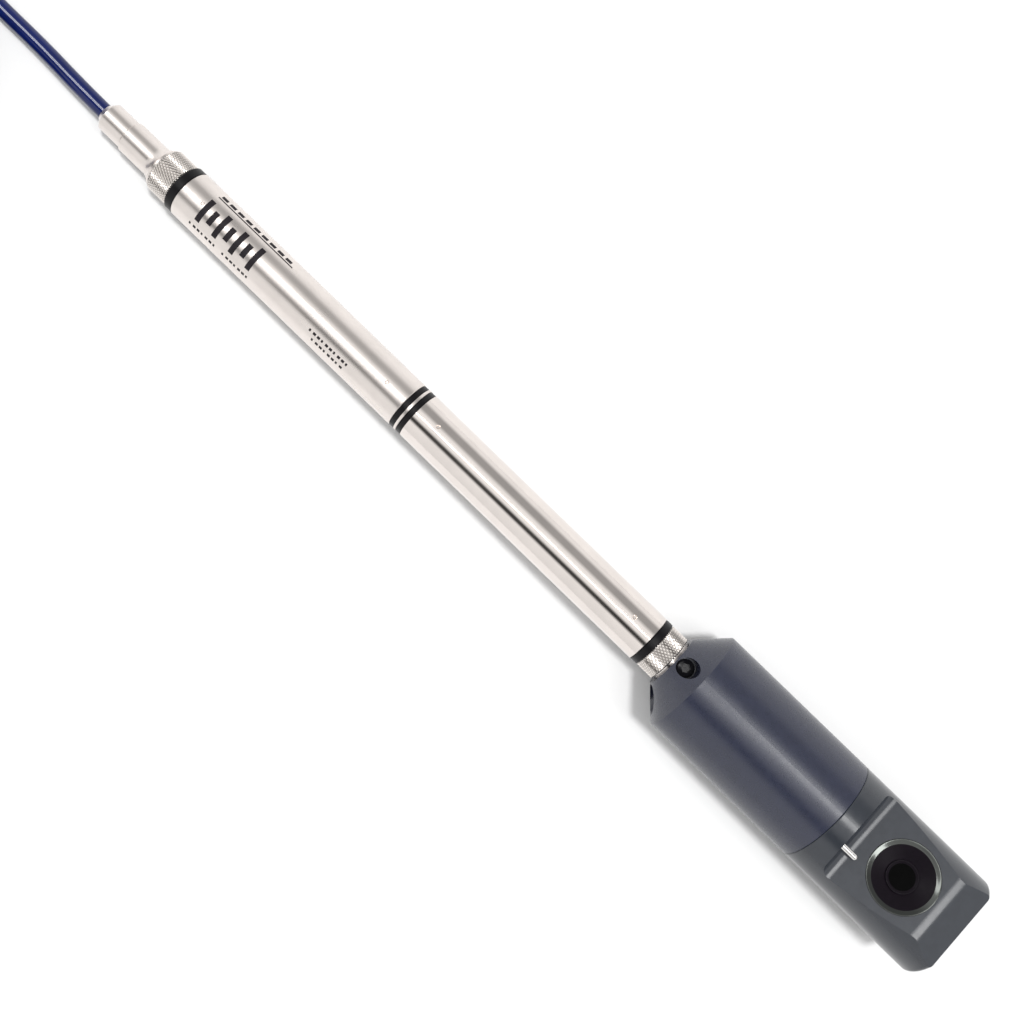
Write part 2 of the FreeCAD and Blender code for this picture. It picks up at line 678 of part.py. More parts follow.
def add_cable():
    """The blue cable: straight out of the gland, down to the ground, and away in a tied coil."""
    first, top = number(FIRST_LAYER), number(TOP_LAYER)
    coil_along = number("coil_centre_along")
    run = add_cord("cable_run", [
        on_axis("cable_end"),
        on_axis("cable_end - 27"),
        Vector(-243, 1.0, 5.4),
        Vector(-266, 0.9, first + 0.1),
        Vector(-288, 1.7, first),
        Vector(coil_along, number("coil_entry_side"), first),
    ])
    plug_along, plug_rear, plug_height = number(PLUG_ALONG), number(PLUG_REAR), number("plug_height")
    tail = add_cord("cable_tail", [
        Vector(coil_along, number("coil_entry_side"), top),
        Vector(-326, 1.8, top - 0.2),
        Vector(-345, -2.5, top - 3.6),
        Vector(-361, -13, plug_height + 4.1),
        Vector(-371, -28, plug_height + 0.8),
        Vector(plug_along, plug_rear + 8.5, plug_height),
        Vector(plug_along, plug_rear - 11.5, plug_height),
    ])
    turns = number("coil_columns * coil_layers")
    wound = turns * 2 * math.pi * number("coil_middle_radius")
    print(f"cable: {turns} turns hold {wound:.0f}, whole length {run + wound + tail:.0f}")

    half = f"(coil_columns * {CABLE_WIDE} / 2)"
    inner, outer = f"(coil_middle_radius - {half})", f"(coil_middle_radius + {half})"
    high = f"(coil_layers * {CABLE_WIDE})"
    centre = spot("coil_centre_along", COIL_SIDE, "0")
    keep(turned("cable_coil", [
        (COIL_BASE, inner),
        (COIL_BASE, outer),
        (f"{COIL_BASE} + {high}", outer),
        (f"{COIL_BASE} + {high}", inner),
    ]), centre + " * " + spot("0", "0", "0", "0; -1; 0", "90"))

    ties = []
    for k, angle in enumerate(("20", "140", "260"), start=1):
        outside = block(f"tie_outside_{k}", f"{inner} - strap_thickness - tie_slack", "-5", "0",
                        f"2 * {half} + 2 * strap_thickness + tie_slack + 0.1", "10",
                        f"{high} + 2 * strap_thickness + 0.2")
        inside = block(f"tie_inside_{k}", f"{inner} - tie_slack", "-6", "strap_thickness",
                       f"2 * {half} + tie_slack + 0.1", "12", f"{high} + 0.2")
        tie = cut(f"tie_{k}", outside, [inside])
        tie.setExpression("Placement", bound(spot("0", "0", "0", "0; 0; 1", angle)))
        ties.append(tie)
    keep(group("coil_ties", ties), centre)


def add_plug():
    """The field plug on the cable's far end, with its turning ring and its push-on dust cap."""
    bore = "cable_radius + 0.05"
    keep(turned("plug_gland_nut", [
        ("0", bore), ("0", "4.6"), ("1.5", "6.4"), ("12", "6.4"), ("12", bore),
    ]), PLUG)
    keep(turned("plug_shell", [
        ("12.05", bore),
        ("12.05", "7.4"),
        ("14", "plug_shell_radius"),
        ("22", "plug_shell_radius"),
        ("22", "7.6"),
        ("33", "7.6"),
        ("33", "7.4"),
        ("46", "7.4"),
        ("46", "6.3"),
        ("20", "6.3"),
        ("20", bore),
    ]), PLUG)
    keep(turned("plug_ring", sleeve("22.15", "34", "7.6 + slip", "10.1", "0.6")), PLUG)
    holes, contacts = [], []
    for k in range(6):
        turn = f"{k} * 60"
        side, height = f"3.9 * cos({turn})", f"3.9 * sin({turn})"
        holes.append(rod(f"contact_hole_{k + 1}", "0.9", "27", "20", side, height))
        sleeve_body = rod(f"contact_body_{k + 1}", "0.85", "28", "17.8", side, height)
        mouth = rod(f"contact_mouth_{k + 1}", "0.5", "38", "9", side, height)
        contacts.append(cut(f"contact_{k + 1}", sleeve_body, [mouth]))
    face = turned("plug_insert_blank", [("26", "0"), ("26", "6.25"), ("45.8", "6.25"), ("45.8", "0")])
    keep(cut("plug_insert", face, holes), PLUG)
    keep(group("plug_contacts", contacts), PLUG)
    keep(turned("dust_cap", [
        ("34.3", "7.5"),
        ("34.3", "plug_height - 0.5"),
        ("34.8", "plug_height"),
        ("50.5", "plug_height"),
        ("52", "plug_height - 1.5"),
        ("52", "0"),
        ("46.3", "0"),
        ("46.3", "7.5"),
    ]), PLUG)


add_gland()
add_collars_and_seals()
add_tubes()
add_electronics()
add_adapter()
add_head_barrel()
add_optics()
add_nose()
add_cable()
add_plug()
doc.recompute()

# ---------------------------------------------------------------- check and write

faults = [f"{o.Label}: {o.State}" for o in doc.Objects if {"Invalid", "Error"} & set(o.State)]
for name, item in nodes.items():
    shape = item.Shape
    if shape.isNull() or not shape.isValid() or shape.Volume <= 0:
        faults.append(f"{name}: no valid solid")
if faults:
    raise SystemExit("\n".join(faults))

os.makedirs(OUT_DIR, exist_ok=True)
probe_box = FreeCAD.BoundBox()
for name, item in nodes.items():
    item.Shape.exportStep(os.path.join(OUT_DIR, name + ".step"))
    if not name.startswith(("cable_run", "cable_coil", "cable_tail", "coil_", "plug_", "dust_")):
        probe_box.add(item.Shape.optimalBoundingBox())
    print(f"{name}: {len(item.Shape.Solids)} solid(s), {item.Shape.Volume:.1f} mm3")
print(f"{len(nodes)} nodes; probe box {probe_box}")
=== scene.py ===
"""Looks of the submersible water quality probe: steel tube body, knurled nuts, black head with its angled
optical window, and the blue cable with its tied coil and capped field plug. Lengths in MM are millimetres.
"""

import json
import math

import bpy
import bmesh
from mathutils import Euler, Matrix, Vector


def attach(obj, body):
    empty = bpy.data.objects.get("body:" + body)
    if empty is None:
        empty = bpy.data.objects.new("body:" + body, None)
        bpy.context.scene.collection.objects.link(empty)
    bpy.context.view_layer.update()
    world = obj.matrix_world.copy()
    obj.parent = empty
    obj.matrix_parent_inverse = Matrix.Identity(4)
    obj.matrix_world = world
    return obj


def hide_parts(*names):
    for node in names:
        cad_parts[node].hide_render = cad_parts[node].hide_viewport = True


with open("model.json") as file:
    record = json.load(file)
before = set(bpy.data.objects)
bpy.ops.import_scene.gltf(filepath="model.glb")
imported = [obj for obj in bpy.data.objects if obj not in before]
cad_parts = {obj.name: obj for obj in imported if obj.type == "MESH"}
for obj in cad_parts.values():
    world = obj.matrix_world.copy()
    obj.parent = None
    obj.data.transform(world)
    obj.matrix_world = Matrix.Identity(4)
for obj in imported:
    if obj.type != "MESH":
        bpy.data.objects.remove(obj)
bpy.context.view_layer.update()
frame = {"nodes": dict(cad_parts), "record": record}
MM = 0.001

JOINTS = {joint["name"]: joint for joint in frame["record"]["behaviour"]["joints"]}
NODES = frame["nodes"]

# ---------------------------------------------------------------- the probe's own directions

NUT_STATION = -173.4  # where the rear nut's joint sits, along the axis from the probe's zero
HEAD_ROLL = math.radians(8.5)
axis = Vector(JOINTS["rear_nut_turn"]["axis"]).normalized()
ZERO = Vector(JOINTS["rear_nut_turn"]["pos_m"]) - axis * NUT_STATION * MM
TILT = math.asin(axis.z)
PROBE = Matrix.Translation(ZERO) @ Matrix.Rotation(-TILT, 4, "Y")
HEAD = PROBE @ Matrix.Rotation(-HEAD_ROLL, 4, "X")

TUBE_RADIUS = 9.525
COLLAR_BORE, REAR_CREST, FRONT_CREST, KNURL_DEPTH = 7.05, 8.95, 9.35, 0.32
CABLE_RADIUS = 3.1

# ---------------------------------------------------------------- camera, floor and light

CAMERA_PLACE = Vector((-1.60, -1.42, 482.9)) * MM
CAMERA_ROLL = math.radians(44.11)
LENS = 45.7
FLOOR_HALF = 6.0
PAPER = 0.605
LAMP_HEIGHT = 1.5
TUBE_LAMP_PLACE = Vector((-1.35, 0.06, LAMP_HEIGHT))
HEAD_LAMP_PLACE = Vector((0.80, 0.38, LAMP_HEIGHT))
SUN_WAY = (-0.13, -0.17, -1.0)


def add_camera():
    """Straight above the probe, turned so that the probe runs down the picture's diagonal."""
    data = bpy.data.cameras.new("camera")
    data.lens = LENS
    data.sensor_width = 36.0
    data.clip_start = 0.01
    camera = bpy.data.objects.new("camera", data)
    camera.location = CAMERA_PLACE
    camera.rotation_euler = Euler((0, 0, CAMERA_ROLL))
    bpy.context.collection.objects.link(camera)
    bpy.context.scene.camera = camera


def add_light(name, place, size, power):
    """A rectangular soft light that faces the floor's middle line, its long side along the probe."""
    data = bpy.data.lights.new(name, "AREA")
    data.shape = "RECTANGLE"
    data.size, data.size_y = size
    data.energy = power
    light = bpy.data.objects.new(name, data)
    way = (Vector((place.x, 0, 0)) - place).normalized()
    across = way.cross(Vector((1, 0, 0))).normalized()
    along = across.cross(way)
    light.matrix_world = Matrix.Translation(place) @ Matrix((along, -across, -way)).transposed().to_4x4()
    bpy.context.collection.objects.link(light)
    return light


def add_sun(name, way, strength, spread):
    """A soft distant light, spread degrees wide, that casts the short shadow; steel doesn't show it."""
    data = bpy.data.lights.new(name, "SUN")
    data.energy = strength
    data.angle = math.radians(spread)
    sun = bpy.data.objects.new(name, data)
    sun.rotation_euler = Vector(way).to_track_quat("-Z", "Y").to_euler()
    sun.visible_glossy = False
    bpy.context.collection.objects.link(sun)


def add_gloss_lamp(cable):
    """A bright lamp that only draws the gloss line along the cable's jacket."""
    lamp = add_light("gloss_lamp", TUBE_LAMP_PLACE, (3.3, 0.62), 110.0)
    lamp.visible_diffuse = False
    glossed = bpy.data.collections.new("glossed")
    glossed.objects.link(cable)
    lamp.light_linking.receiver_collection = glossed


def add_floor():
    """A plain pale sheet under everything."""
    mesh = bpy.data.meshes.new("floor")
    corners = [(x * FLOOR_HALF, y * FLOOR_HALF, 0) for x, y in ((-1, -1), (1, -1), (1, 1), (-1, 1))]
    mesh.from_pydata(corners, [], [(0, 1, 2, 3)])
    floor = bpy.data.objects.new("floor", mesh)
    bpy.context.collection.objects.link(floor)
    paper = bpy.data.materials.new("paper_floor")
    paper.use_nodes = True
    shader = paper.node_tree.nodes["Principled BSDF"]
    shader.inputs["Base Color"].default_value = (PAPER, PAPER, PAPER, 1)
    shader.inputs["Roughness"].default_value = 0.9
    shader.inputs["Specular IOR Level"].default_value = 0.1
    mesh.materials.append(paper)


# the studio: a white surround, and two dark strips in it, each with its middle, half its full width and the
# fade on either side of that, in degrees from overhead towards +Y, and its brightness
SURROUND = 1.0
LOW_SIDE, FLOOR_SIDE = -90, 180  # the surround dims from the strips to STUDIO_ENDS at these two angles
STRIPS = [(-28, 5, 10, 0.05), (47, 12, 15, 0.4)]
STUDIO_ENDS = 0.9
ENDS_START, ENDS_FULL = 0.6, 0.85  # how far along the probe a direction points where the plain ends begin


def add_studio():
    """A white surround with two soft dark strips along the probe, which steel shows as dark bands."""
    world = bpy.data.worlds.new("studio")
    world.use_nodes = True
    bpy.context.scene.world = world
    nodes, links = world.node_tree.nodes, world.node_tree.links
    nodes.clear()
    coordinates = nodes.new("ShaderNodeTexCoord")
    split = nodes.new("ShaderNodeSeparateXYZ")
    angle = nodes.new("ShaderNodeMath")
    angle.operation = "ARCTAN2"
    spread = nodes.new("ShaderNodeMapRange")
    spread.inputs["From Min"].default_value = -math.pi
    spread.inputs["From Max"].default_value = math.pi
    ramp = nodes.new("ShaderNodeValToRGB")
    ramp.color_ramp.interpolation = "LINEAR"
    stops = [(LOW_SIDE, STUDIO_ENDS)]
    for middle, half, fade, dark in STRIPS:
        stops += [(middle - half - fade, SURROUND), (middle - half, dark)]
        stops += [(middle + half, dark), (middle + half + fade, SURROUND)]
    stops.append((FLOOR_SIDE, STUDIO_ENDS))
    elements = ramp.color_ramp.elements
    while len(elements) < len(stops):
        elements.new(0.5)
    for element, (degrees, bright) in zip(elements, stops):
        element.position = (degrees + 180) / 360
        element.color = (bright, bright, bright, 1)
    far = nodes.new("ShaderNodeMath")
    far.operation = "ABSOLUTE"
    ends = nodes.new("ShaderNodeMapRange")
    ends.interpolation_type = "SMOOTHSTEP"
    ends.inputs["From Min"].default_value = ENDS_START
    ends.inputs["From Max"].default_value = ENDS_FULL
    blend = nodes.new("ShaderNodeMix")
    blend.data_type = "RGBA"
    blend.inputs["B"].default_value = (STUDIO_ENDS, STUDIO_ENDS, STUDIO_ENDS, 1)
    background = nodes.new("ShaderNodeBackground")
    output = nodes.new("ShaderNodeOutputWorld")
    links.new(coordinates.outputs["Generated"], split.inputs[0])
    links.new(split.outputs["Y"], angle.inputs[0])
    links.new(split.outputs["Z"], angle.inputs[1])
    links.new(angle.outputs[0], spread.inputs["Value"])
    links.new(spread.outputs[0], ramp.inputs[0])
    links.new(split.outputs["X"], far.inputs[0])
    links.new(far.outputs[0], ends.inputs["Value"])
    links.new(ends.outputs[0], blend.inputs["Factor"])
    links.new(ramp.outputs[0], blend.inputs["A"])
    links.new(blend.outputs["Result"], background.inputs["Color"])
    links.new(background.outputs[0], output.inputs["Surface"])


# ---------------------------------------------------------------- the cable's line

ON_AXIS = [PROBE @ Vector((station * MM, 0, 0)) / MM for station in (-193, -220)]
RUN = ON_AXIS + [(-243, 1.0, 5.4), (-266, 0.9, 4.6), (-288, 1.7, 4.5)]
TAIL = [
    (-326, 1.8, 22.9), (-345, -2.5, 19.5), (-361, -13, 14.5), (-371, -28, 11.2), (-374.5, -46, 10.4),
    (-374.5, -66, 10.4),
]
COIL_CENTRE = (-308.0, -48.5)
COIL_MIDDLE = 38.1
COLUMNS, LAYERS = 5, 4
FIRST_LAYER = 4.5
TURN_POINTS = 16
STEP_SHARE = 0.25  # the last part of each turn, where it moves over to the next place


def coil_points():
    """Turns wound side by side, in to the middle and out again, each layer a cable's width higher."""
    wide = 2 * CABLE_RADIUS
    places = []
    for layer in range(LAYERS):
        columns = range(COLUMNS)
        for column in columns if layer % 2 else reversed(columns):
            places.append((COIL_MIDDLE + (column - (COLUMNS - 1) / 2) * wide, FIRST_LAYER + layer * wide))
    points = []
    last = len(places) * TURN_POINTS
    for k in range(last + 1):
        turn, step = divmod(k, TURN_POINTS)
        here, following = places[min(turn, len(places) - 1)], places[min(turn + 1, len(places) - 1)]
        shift = max(0.0, step / TURN_POINTS - (1 - STEP_SHARE)) / STEP_SHARE
        radius = here[0] + (following[0] - here[0]) * shift
        height = here[1] + (following[1] - here[1]) * shift
        angle = math.pi / 2 + 2 * math.pi * k / TURN_POINTS
        across, along = radius * math.cos(angle), radius * math.sin(angle)
        points.append((COIL_CENTRE[0] + across, COIL_CENTRE[1] + along, height))
    return points


def add_cable(material):
    """The blue cable in one piece: out of the gland, into the coil and on to the field plug."""
    points = [Vector(p) * MM for p in RUN + coil_points() + TAIL]
    curve = bpy.data.curves.new("cable", "CURVE")
    curve.dimensions = "3D"
    spline = curve.splines.new("NURBS")
    spline.points.add(len(points) - 1)
    for point, place in zip(spline.points, points):
        point.co = (*place, 1.0)
    spline.order_u = 3
    spline.use_endpoint_u = True
    spline.resolution_u = 8
    curve.bevel_depth = CABLE_RADIUS * MM
    curve.bevel_resolution = 8
    curve.use_fill_caps = True
    cable = bpy.data.objects.new("cable", curve)
    bpy.context.collection.objects.link(cable)
    curve.materials.append(material)
    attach(cable, "probe")
    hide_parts("cable_run", "cable_coil", "cable_tail")
    return cable


# ---------------------------------------------------------------- materials


class Finish:
    """A Principled material with small helpers; places are read in the probe's own frame, in millimetres."""

    def __init__(self, name, colour, roughness, metallic=0.0, specular=0.5, coat=0.0):
        self.material = bpy.data.materials.new(name)
        self.material.use_nodes = True
        self.nodes = self.material.node_tree.nodes
        self.links = self.material.node_tree.links
        self.shader = self.nodes["Principled BSDF"]
        self.colour = colour
        self.roughness = roughness
        self.shader.inputs["Base Color"].default_value = (*colour, 1)
        self.shader.inputs["Roughness"].default_value = roughness
        self.shader.inputs["Metallic"].default_value = metallic
        self.shader.inputs["Specular IOR Level"].default_value = specular
        self.shader.inputs["Coat Weight"].default_value = coat
        self.shader.inputs["Coat Roughness"].default_value = 0.1
        coordinates = self.nodes.new("ShaderNodeTexCoord")
        local = self.nodes.new("ShaderNodeMapping")
        local.vector_type = "TEXTURE"
        local.inputs["Location"].default_value = ZERO
        local.inputs["Rotation"].default_value = (0, -TILT, 0)
        local.inputs["Scale"].default_value = (MM, MM, MM)
        self.links.new(coordinates.outputs["Object"], local.inputs["Vector"])
        self.place = local.outputs[0]

    def noise(self, scale, detail=3.0, stretch=(1, 1, 1)):
        """Noise with features about 1 / scale millimetres wide."""
        sized = self.nodes.new("ShaderNodeMapping")
        sized.inputs["Scale"].default_value = stretch
        noise = self.nodes.new("ShaderNodeTexNoise")
        noise.inputs["Scale"].default_value = scale
        noise.inputs["Detail"].default_value = detail
        self.links.new(self.place, sized.inputs["Vector"])
        self.links.new(sized.outputs[0], noise.inputs["Vector"])
        return noise.outputs["Fac"]

    def vary_colour(self, fac, darker, lighter):
        """Moves the base colour between two shades of itself."""
        ramp = self.nodes.new("ShaderNodeValToRGB")
        for element, share, at in zip(ramp.color_ramp.elements, (darker, lighter), (0.35, 0.65)):
            element.position = at
            element.color = (*(min(1.0, c * share) for c in self.colour), 1)
        self.links.new(fac, ramp.inputs[0])
        self.links.new(ramp.outputs[0], self.shader.inputs["Base Color"])

    def vary_roughness(self, fac, spread):
        span = self.nodes.new("ShaderNodeMapRange")
        span.inputs["From Min"].default_value = 0.3
        span.inputs["From Max"].default_value = 0.7
        span.inputs["To Min"].default_value = self.roughness - spread
        span.inputs["To Max"].default_value = self.roughness + spread
        self.links.new(fac, span.inputs["Value"])
        self.links.new(span.outputs[0], self.shader.inputs["Roughness"])

    def paint_shade_in_cuts(self, crest):
        """Paints shade into the knurl's cuts: darkens the colour with depth below the crest, which is a
        distance from the axis.
        """
        across = self.nodes.new("ShaderNodeMapping")
        across.inputs["Scale"].default_value = (0, 1, 1)
        distance = self.nodes.new("ShaderNodeVectorMath")
        distance.operation = "LENGTH"
        ramp = self.nodes.new("ShaderNodeValToRGB")
        depth = self.nodes.new("ShaderNodeMapRange")
        depth.inputs["From Min"].default_value = crest - KNURL_DEPTH
        depth.inputs["From Max"].default_value = crest
        for element, at, share in zip(ramp.color_ramp.elements, (0.2, 0.7), (0.6, 1.0)):
            element.position = at
            element.color = (*(c * share for c in self.colour), 1)
        self.links.new(self.place, across.inputs["Vector"])
        self.links.new(across.outputs[0], distance.inputs[0])
        self.links.new(distance.outputs["Value"], depth.inputs["Value"])
        self.links.new(depth.outputs[0], ramp.inputs[0])
        self.links.new(ramp.outputs[0], self.shader.inputs["Base Color"])

    def bump(self, fac, height):
        """Raises the surface by height millimetres; a second call adds to the first."""
        bump = self.nodes.new("ShaderNodeBump")
        bump.inputs["Strength"].default_value = 1.0
        bump.inputs["Distance"].default_value = height * MM
        self.links.new(fac, bump.inputs["Height"])
        present = self.shader.inputs["Normal"].links
        if present:
            self.links.new(present[0].from_socket, bump.inputs["Normal"])
        self.links.new(bump.outputs[0], self.shader.inputs["Normal"])


def steel(name, colour, roughness):
    """Turned stainless steel: fine marks round the axis and faint handling smudges."""
    finish = Finish(name, colour, roughness, metallic=1.0)
    finish.vary_colour(finish.noise(0.12, 2.0), 0.97, 1.02)
    finish.vary_roughness(finish.noise(0.15, 3.0, (0.3, 1, 1)), 0.02)
    finish.bump(finish.noise(9.0, 2.0, (1, 0.02, 0.02)), 0.0004)
    return finish.material


def knurled(name, crest):
    """Knurled stainless steel with painted shade in its cuts, darker there than on its crests, which are
    crest mm from the axis.
    """
    finish = Finish(name, (0.92, 0.86, 0.81), 0.22, metallic=1.0)
    finish.vary_roughness(finish.noise(1.5, 2.0), 0.04)
    finish.bump(finish.noise(6.0, 2.0), 0.002)
    # painted shade: the base colour darkens down to 60 per cent in the knurl's cuts
    finish.paint_shade_in_cuts(crest)
    return finish.material


def machined_plastic(name, colour, roughness, specular):
    """Turned acetal: a matte skin with fine lathe marks and a faint cloudiness."""
    finish = Finish(name, colour, roughness, specular=specular)
    finish.vary_colour(finish.noise(0.25, 4.0), 0.94, 1.06)
    finish.vary_roughness(finish.noise(0.5, 2.0), 0.02)
    finish.bump(finish.noise(4.0, 2.0, (1, 0.03, 0.03)), 0.0008)
    finish.bump(finish.noise(1.5, 1.0), 0.0004)
    return finish.material


def moulded(name, colour, roughness, grain=0.01, specular=0.5, coat=0.0):
    """Moulded rubber or plastic with a fine even grain."""
    finish = Finish(name, colour, roughness, specular=specular, coat=coat)
    finish.vary_colour(finish.noise(0.6, 4.0), 0.88, 1.12)
    finish.vary_roughness(finish.noise(0.9, 3.0), 0.05)
    finish.bump(finish.noise(5.0, 4.0), grain)
    return finish.material


def jacket(name):
    """Smooth blue polyurethane cable jacket with a soft gloss."""
    finish = Finish(name, (0.0028, 0.0075, 0.062), 0.08, specular=0.4)
    finish.vary_colour(finish.noise(0.2, 3.0), 0.9, 1.12)
    finish.vary_roughness(finish.noise(1.0, 3.0), 0.03)
    finish.bump(finish.noise(0.5, 2.0), 0.01)
    return finish.material


MATERIALS = {
    "upper_steel": steel("upper_steel", (0.80, 0.74, 0.70), 0.285),
    "lower_steel": steel("lower_steel", (0.80, 0.74, 0.70), 0.12),
    "rear_knurl": knurled("rear_knurl", REAR_CREST),
    "front_knurl": knurled("front_knurl", FRONT_CREST),
    "black_rubber": moulded("black_rubber", (0.003, 0.0027, 0.0034), 0.36, grain=0.003, specular=0.2),
    "ink": moulded("ink", (0.008, 0.006, 0.008), 0.5, grain=0.001, specular=0.25),
    "head_plastic": machined_plastic("head_plastic", (0.013, 0.0155, 0.031), 0.28, specular=0.75),
    "nose_plastic": machined_plastic("nose_plastic", (0.019, 0.022, 0.028), 0.21, specular=0.62),
    "rim_metal": steel("rim_metal", (0.10, 0.106, 0.10), 0.13),
    "window_black": moulded("window_black", (0.0035, 0.002, 0.004), 0.42, grain=0.001, specular=0.12),
    "foil": moulded("foil", (0.0015, 0.0015, 0.0015), 0.55, grain=0.001, specular=0.02),
    "lens_glass": moulded("lens_glass", (0.25, 0.3, 0.36), 0.05, grain=0.0005, coat=1.0),
    "black_screw": moulded("black_screw", (0.004, 0.004, 0.005), 0.22, grain=0.002, specular=0.5),
    "pin_steel": steel("pin_steel", (0.86, 0.84, 0.82), 0.1),
    "jacket": jacket("jacket"),
    "strap": moulded("strap", (0.012, 0.012, 0.013), 0.85, grain=0.12, specular=0.2),
    "plug_plastic": moulded("plug_plastic", (0.015, 0.015, 0.017), 0.42, grain=0.01),
    "plug_metal": steel("plug_metal", (0.55, 0.56, 0.58), 0.25),
    "gold": steel("gold", (0.9, 0.66, 0.3), 0.2),
    "cap_rubber": moulded("cap_rubber", (0.012, 0.012, 0.013), 0.6, grain=0.015, specular=0.35),
    "board": moulded("board", (0.02, 0.16, 0.07), 0.4, grain=0.004, coat=0.3),
    "chips": moulded("chips", (0.03, 0.03, 0.03), 0.5),
    "wire": moulded("wire", (0.45, 0.05, 0.04), 0.4),
}

NODE_MATERIALS = {
    "upper_steel": ["upper_tube", "tube_joiner", "cable_nut", "cable_fitting"],
    "lower_steel": ["lower_tube", "head_adapter", "tube_dowels"],
    "black_rubber": [
        "cable_grommet", "fitting_o_ring", "rear_seal_ring", "front_seal_ring", "joiner_seal_rear",
        "joiner_seal_front", "joiner_o_rings", "adapter_o_ring", "nose_o_ring",
    ],
    "head_plastic": ["head_barrel", "optics_block"],
    "nose_plastic": ["nose_cap"],
    "window_black": ["foil_ring"],
    "foil": ["optical_foil"],
    "lens_glass": ["optics_lens"],
    "pin_steel": ["thermistor_pin"],
    "plug_plastic": ["plug_shell", "plug_insert"],
    "gold": ["plug_contacts"],
    "board": ["comms_board", "sensor_board", "optics_board"],
    "chips": ["comms_board_components", "sensor_board_components"],
    "wire": ["cable_wires", "link_wires", "head_wires"],
}


def dress_nodes():
    for name, nodes in NODE_MATERIALS.items():
        for node in nodes:
            NODES[node].data.materials.clear()
            NODES[node].data.materials.append(MATERIALS[name])


# ---------------------------------------------------------------- pieces shaped here


WELD = 1e-7


def closed_mesh(name, points, faces, material, sharp=30.0):
    """A solid's skin from points in metres, with its normals outward and its sharp edges kept."""
    mesh = bpy.data.meshes.new(name)
    mesh.from_pydata([tuple(p) for p in points], [], faces)
    skin = bmesh.new()
    skin.from_mesh(mesh)
    bmesh.ops.remove_doubles(skin, verts=skin.verts, dist=WELD)
    bmesh.ops.recalc_face_normals(skin, faces=skin.faces)
    skin.to_mesh(mesh)
    skin.free()
    mesh.shade_smooth()
    mesh.set_sharp_from_angle(angle=math.radians(sharp))
    mesh.materials.append(material)
    piece = bpy.data.objects.new(name, mesh)
    bpy.context.collection.objects.link(piece)
    return piece


def lathe(place, section, segments, reach):
    """Points and triangles of a closed section turned about the place's X axis. The section holds (along,
    radius) in millimetres, and reach(row, step, radius) may pull a point in."""
    points, faces = [], []
    for row, (along, radius) in enumerate(section):
        for step in range(segments):
            angle = 2 * math.pi * step / segments
            out = reach(row, step, radius)
            points.append(place @ (Vector((along, out * math.cos(angle), out * math.sin(angle))) * MM))
    for row in range(len(section)):
        following = (row + 1) % len(section)
        for step in range(segments):
            after = (step + 1) % segments
            a, b = row * segments + step, row * segments + after
            c, d = following * segments + after, following * segments + step
            if (row + step) % 2:
                faces += [(a, b, d), (b, c, d)]
            else:
                faces += [(a, b, c), (a, c, d)]
    return points, faces


def add_knurled_ring(name, place, start, end, bore, outer, bevel, body, material):
    """A ring with a diamond knurl cut into its outer face, each diamond several steps wide."""
    diamonds, pitch, steps = 52, 1.95, 4
    rows = 2 * round((end - start) / pitch * steps / 2)
    section = [(start, bore), (start, outer - bevel)]
    for row in range(1, rows):
        along = start + (end - start) * row / rows
        inward = min(along - start, end - along)
        section.append((along, outer - max(0.0, bevel - inward)))
    section += [(end, outer - bevel), (end, bore)]

    def reach(row, step, radius):
        if not 2 <= row <= rows:
            return radius
        ridges = [1 - abs(2 * (way % steps) / steps - 1) for way in (step + row, step - row)]
        return min(radius, outer - KNURL_DEPTH * (1 - min(ridges)))

    points, faces = lathe(place, section, diamonds * steps, reach)
    ring = closed_mesh(name, points, faces, material, sharp=12.0)
    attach(ring, body)
    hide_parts(name.removesuffix("_knurled"))
    return ring


def add_screws(material):
    """Four button-head screws, each with a hexagon socket, deep in the cone's counterbores."""
    station, segments = 81.45, 48
    floor, rim, crown = 9.25, 10.1, 11.3
    wide, socket = 3.35, 1.5
    dome = [(crown - (crown - rim) * (r / wide) ** 2, r) for r in (2.0, 2.4, 2.8, 3.1, wide)]
    section = [(rim, 0.0), (rim, socket), (crown - 0.1, socket)] + dome + [(floor, wide), (floor, 0.0)]

    def reach(row, step, radius):
        if row not in (1, 2):
            return radius
        turn = (step / segments * 6) % 1.0
        return radius / math.cos(math.radians(60) * (turn - 0.5))

    points, faces = [], []
    middle = HEAD @ Matrix.Translation(Vector((station * MM, 0, 0)))
    for k in range(4):
        place = middle @ Matrix.Rotation(math.pi / 2 * k, 4, "X")
        more, corners = lathe(place @ Matrix.Rotation(-math.pi / 2, 4, "Y"), section, segments, reach)
        faces += [tuple(c + len(points) for c in corner) for corner in corners]
        points += more
    screws = closed_mesh("button_screws", points, faces, material)
    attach(screws, "probe")
    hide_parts("head_screws")


# the nose's angled face rises forwards from its foot, and the window stands on it
WINDOW_STATION, FOOT_STATION, FOOT_HEIGHT, FACE_RISE, FACE_RUN = 183.26, 162.1, 10.4, 6.7, 36.7
FACE_ANGLE = math.atan(FACE_RISE / FACE_RUN)
WINDOW_HEIGHT = FOOT_HEIGHT + (WINDOW_STATION - FOOT_STATION) * math.tan(FACE_ANGLE)
WINDOW = (
    HEAD @ Matrix.Translation(Vector((WINDOW_STATION, 0, WINDOW_HEIGHT)) * MM)
    @ Matrix.Rotation(-FACE_ANGLE, 4, "Y") @ Matrix.Rotation(-math.pi / 2, 4, "Y")
)
RIM_RADIUS, WINDOW_RADIUS, FLOOR_RADIUS, WINDOW_DEPTH = 12.8, 11.0, 5.7, 2.5


